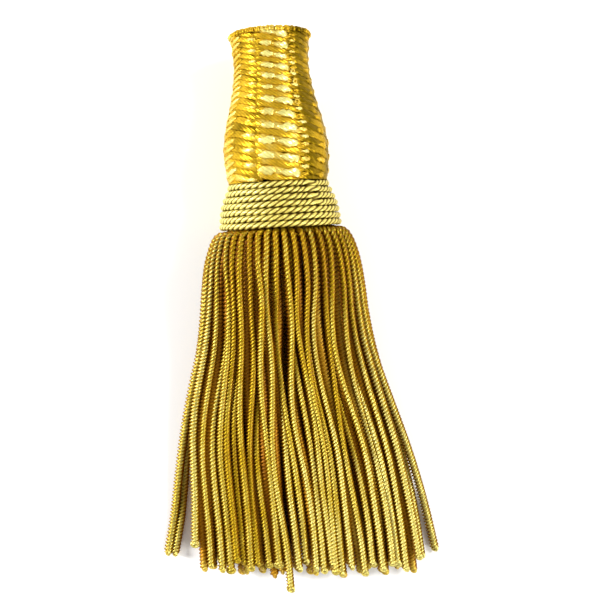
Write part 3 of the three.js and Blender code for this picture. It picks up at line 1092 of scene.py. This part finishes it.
def addFloat(bundle, points, place, crest, tones):
    sides = len(floatShapes["ring"])
    rings = len(points) // sides
    ends = [range(sides), range(rings * sides - 1, (rings - 1) * sides - 1, -1)]
    faces = skinFaces(rings, sides)[0].tolist() + ends
    uv = np.array([place[corner] for face in faces for corner in face])
    addToBundle(bundle, placed(points), faces, uv, np.array(crest), np.array(tones))


def onHead(along, alongs):
    return min(max(along, alongs[0] - head["pastFoot"]), alongs[-1] + head["pastRim"])


def plaitStitch(bundle, alongs, radii, shape, tone, middleAlong, draws):
    atFoot, atRim, halfLong, halfWide, climb, lift = shape
    tone = tone + spread(draws, head["stitchTone"])
    rise = np.clip((middleAlong - alongs[0]) / (alongs[-1] - alongs[0]), 0, 1)
    radiusAt = np.interp(middleAlong, alongs, radii)
    grow = radiusAt / radii.max() * draws.uniform(*head["stitchGrow"])
    middleAngle = math.radians(atFoot + (atRim - atFoot) * rise) + spread(draws, head["stitchStray"])
    points, crest, place, tones = [], [], [], []
    for share, width, high in floatShapes["stitch"]:
        angle = middleAngle + share * halfLong * grow / radiusAt
        uneven = draws.uniform(*head["stitchRagged"], 2)
        blotch = draws.uniform(*head["stitchBlotch"])
        for across, up in floatShapes["ring"]:
            reach = across * halfWide * grow * width * uneven[int(across > 0)]
            along = onHead(middleAlong + share * climb + reach, alongs)
            form = np.interp(along, alongs, radii) - head["underFloats"]
            radius = form + lift + head["stitchHigh"] * high * up
            points.append((radius * math.sin(angle), along, axisHigh + radius * math.cos(angle)))
            # crest low underneath and tone lower at ends and edges: painted shade
            crest.append(np.clip(0.5 + 0.5 * up, 0, 1))
            place.append((share * halfLong, across * 0.5))
            tones.append(tone + blotch - head["stitchFade"] * (1 - high) - head["edgeFade"] * abs(across))
    addFloat(bundle, points, place, crest, tones)


def plaitRibbon(bundle, alongs, radii, middleAngle, middleAlong, arch, tone, draws):
    radiusAt = np.interp(middleAlong, alongs, radii)
    pitch = head["rowShare"] * radiusAt
    halfTurn = math.pi / head["columns"] * head["floatReach"]
    fall = head["rowsPerTurn"] * pitch / math.tau  # mm down for each radian to +X
    points, crest, place, tones = [], [], [], []
    for share, width, lift in floatShapes["ribbon"]:
        angle = middleAngle + share * halfTurn
        # the threads' own tone by column with painted light and shade by side, and random blotches
        shade = sideToneAndLight(angle, middleAlong, alongs) + head["blotch"] * draws.uniform(-1, 1)
        uneven = 1 + head["ragged"] * draws.uniform(-1, 1, 2)
        lift = lift + spread(draws, head["liftSpread"])
        thick = head["ribbonEdge"] + head["ribbonThick"] * width
        for across, up in floatShapes["ring"]:
            reach = across * width * pitch * 0.5 * uneven[int(across > 0)]
            along = onHead(middleAlong - share * halfTurn * fall + reach - arch * share * share, alongs)
            form = np.interp(along, alongs, radii) - head["underFloats"]
            radius = form + lift + up * thick
            points.append((radius * math.sin(angle), along, axisHigh + radius * math.cos(angle)))
            # painted shade where the ribbon lies low, painted highlight where it rises
            shine = head["ribbonCrest"] + head["ribbonRise"] * up + head["ribbonRise"] * lift
            crest.append(np.clip(shine, 0, 1))
            place.append((share * halfTurn * radiusAt, across * 0.5))
            tones.append(tone + shade)
    addFloat(bundle, points, place, crest, tones)


def makePlait(material):
    alongs, radii = headProfile()
    draws = np.random.default_rng(head["seed"])
    bundle = newBundle()
    pitches = head["rowShare"] * (radii[1:] + radii[:-1]) / 2
    rowAt = np.concatenate([[0], np.cumsum(np.diff(alongs) / pitches)])  # rows counted up from the foot
    lowest, highest = -head["rowsPastFoot"], rowAt[-1] + head["rowsPastRim"]
    spare = 2  # rows tried beyond both
    for column in range(head["columns"]):
        middleAngle = math.radians(head["columnAt"]) + math.tau * column / head["columns"]
        offset = head["rowsPerTurn"] * column / head["columns"]
        for row in range(-spare, int(rowAt[-1] + offset) + spare):
            level = row - offset
            if level < lowest or level > highest:
                continue
            before = min(level, 0) * head["rowShare"] * radii[0]
            after = max(level - rowAt[-1], 0) * head["rowShare"] * radii[-1]
            middleAlong = np.interp(level, rowAt, alongs) + before + after
            arch = head["arch"] if column == head["archAt"] else 0.0
            tone = head["rowTones"][row % 2] + spread(draws, head["rowToneSpread"])
            plaitRibbon(bundle, alongs, radii, middleAngle, middleAlong, arch, tone, draws)
    for *shape, firstRow, tone in head["stitches"]:
        for level in np.arange(firstRow, rowAt[-1] - head["stitchClear"], head["stitchEvery"]):
            plaitStitch(bundle, alongs, radii, shape, tone, np.interp(level, rowAt, alongs), draws)
    for degrees, along in head["looseLoops"]:
        angle = math.radians(degrees)
        outward = np.array([math.sin(angle), 0, math.cos(angle)])
        sideways = np.array([math.cos(angle), 0, -math.sin(angle)])
        middle = outward * np.interp(along, alongs, radii) + np.array([0, along, axisHigh])
        lean = spread(draws, head["loopLean"])
        first = math.cos(lean) * sideways + math.sin(lean) * outward
        second = np.array([0, 1.0, 0])
        eyeLoop(bundle, middle, first, second, head["loopSize"], head["loopThick"], head["loopTone"])
    plait = bundlePiece("head_plait", bundle, material)
    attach(plait, "root")
    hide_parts("head")
    print("head_plait laid, faces:", len(plait.data.polygons))


wrapping = {  # threads over the edge of the mouth
    "wraps": 52,
    "outerIn": 0.05,
    "innerOut": 0.1,
    "stray": 0.25,  # of the space for one wrap
    "bendOn": 0.25,  # radians past level at both ends
    "steps": 11,
    "under": 0.75,
    "high": 0.55,
    "slant": 0.05,
    "thick": (0.58, 0.76),  # of the space for one wrap
    "twist": {"plies": 3, "pointsPerPly": 2, "plySize": 0.68, "hand": -1, "lead": 3.0, "filled": 0.45},
    "tone": (0.1, 0.5),
}


def makeRim(material):
    bundle = newBundle()
    draws = np.random.default_rng(head["seed"])
    wraps = wrapping["wraps"]
    outside = head["sections"][-1][1] - wrapping["outerIn"]
    inside = head["mouthRadius"] + wrapping["innerOut"]
    middle, reach = (outside + inside) / 2, (outside - inside) / 2
    bend = np.linspace(-wrapping["bendOn"], math.pi + wrapping["bendOn"], wrapping["steps"])
    radius = middle + reach * np.cos(bend)
    along = head["rimAlong"] - wrapping["under"] + wrapping["high"] * np.sin(bend)
    for wrap in range(wraps):
        angle = math.tau * (wrap + spread(draws, wrapping["stray"])) / wraps
        turn = angle - wrapping["slant"] * np.cos(bend)
        line = np.stack([radius * np.sin(turn), along, axisHigh + radius * np.cos(turn)], axis=1)
        side = np.tile([math.cos(angle), 0, -math.sin(angle)], (len(line), 1))
        thick = math.tau * middle / wraps * draws.uniform(*wrapping["thick"])
        twist = {**wrapping["twist"], "start": draws.uniform()}
        # the threads' own tone, with painted light and shade by side
        tone = draws.uniform(*wrapping["tone"]) + sideToneAndLight(angle, head["rimAlong"], headProfile()[0])
        twistedCord(bundle, line, side, np.full(len(line), thick), twist, tone)
    rim = bundlePiece("head_rim", bundle, material)
    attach(rim, "root")
    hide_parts("head")
    print("head_rim wrapped, faces:", len(rim.data.polygons))


headGilt = underMaterial("giltForm", formLook)
makeHeadForm(headGilt)
plaitGilt = giltMaterial("giltPlait", plaitLook)
makePlait(plaitGilt)
makeRim(plaitGilt)
